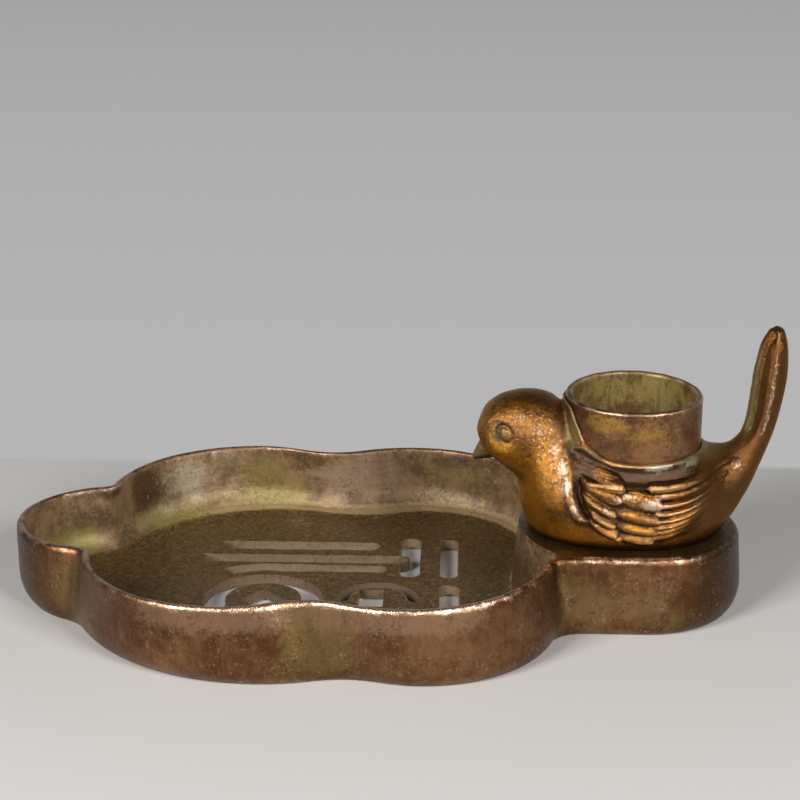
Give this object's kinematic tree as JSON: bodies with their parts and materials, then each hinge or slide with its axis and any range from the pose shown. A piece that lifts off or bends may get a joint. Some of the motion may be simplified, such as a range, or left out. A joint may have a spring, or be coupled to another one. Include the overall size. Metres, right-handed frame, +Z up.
{
  "type": "backflow incense burner",
  "caption": "Cast bronze backflow incense burner: a six-lobed dish with a pierced floor and a small bird carrying an incense cup on its back.",
  "frame": {"origin": "on the surface the dish stands on, under the middle of the object's box", "axes": "+X along the dish from the far end lobe to the bird's tail, +Y to the back, +Z up"},
  "size_m": [0.2526, 0.1418, 0.0954],
  "materials": {
    "dish_bronze": "old cast bronze, brown with olive patina and a worn bright rim",
    "bird_bronze": "old cast bronze, handled to a golden brown with dark hollows",
    "cup_bronze": "old bronze tube, brown outside and olive inside",
    "seat_brass": "dull brass plate with smoke stains",
    "fixing_brass": "plain turned brass"
  },
  "bodies": {
    "burner": {"dish": "dish_bronze", "bird": "bird_bronze", "cup": "cup_bronze", "breast_washer": "fixing_brass", "tail_washer": "fixing_brass", "breast_screw": "fixing_brass", "tail_screw": "fixing_brass"},
    "cone_seat": {"cone_seat": "seat_brass"}
  },
  "joints": [
    {"name": "cone_seat_lift", "type": "slide", "parent": "burner", "child": "cone_seat", "axis": [0, 0, 1], "range_m": [0, 0.03]}
  ]
}
